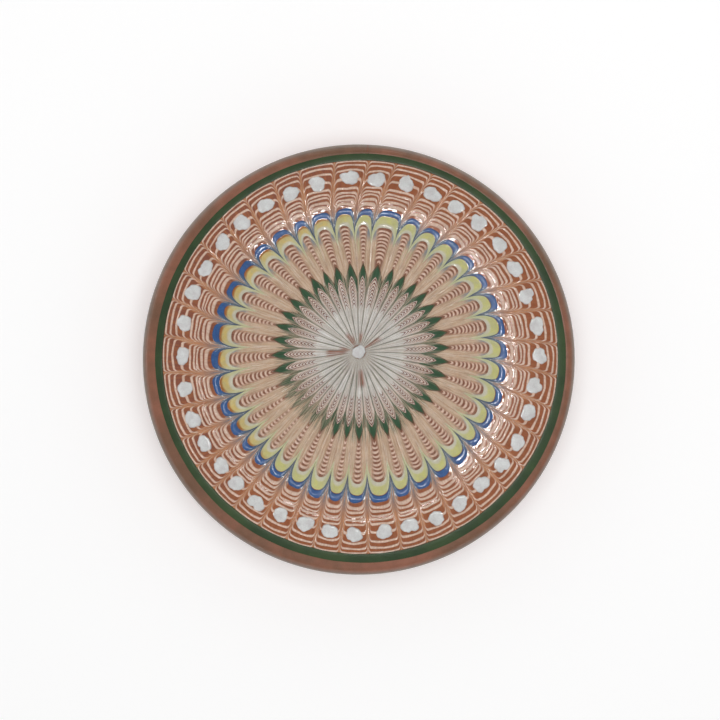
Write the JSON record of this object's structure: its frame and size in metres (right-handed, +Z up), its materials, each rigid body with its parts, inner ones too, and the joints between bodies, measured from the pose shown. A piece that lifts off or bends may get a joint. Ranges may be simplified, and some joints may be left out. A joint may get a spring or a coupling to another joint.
{
  "type": "hand painted ceramic plate",
  "caption": "Round shallow earthenware plate on a turned foot ring, with combed rings of coloured slip, a row of white dots and a centre star under clear glaze.",
  "frame": {"origin": "centre of the foot ring's rest plane, on the plate's axis", "axes": "+Z up along the plate's axis, out of the painted face; +Y is towards the top of the pattern and +X to its right, seen from above"},
  "size_m": [0.25, 0.25, 0.036],
  "materials": {
    "red_clay": "matt fired red earthenware with turning rings",
    "brown_slip": "glossy red brown slip under clear glaze",
    "green_slip": "glossy dark green slip under clear glaze",
    "line_slip": "glossy pinkish white trailed slip under clear glaze",
    "white_slip": "glossy off-white slip under clear glaze",
    "blue_slip": "glossy cobalt blue slip under clear glaze",
    "yellow_slip": "glossy pale yellow slip under clear glaze",
    "leaf_slip": "glossy leaf green slip, redder at the tips, under clear glaze",
    "clear_glaze": "clear gloss lead-free glaze"
  },
  "bodies": {
    "root": {"plate_body": "red_clay", "foot_ring": "red_clay", "ground_slip": "brown_slip", "rim_band": "green_slip", "border_lines": "line_slip", "border_dots": "white_slip", "blue_caps": "blue_slip", "yellow_petals": "yellow_slip", "petal_lines": "line_slip", "green_leaves": "leaf_slip", "centre_rays": "white_slip", "centre_drop": "white_slip", "clear_glaze": "clear_glaze"}
  },
  "joints": []
}
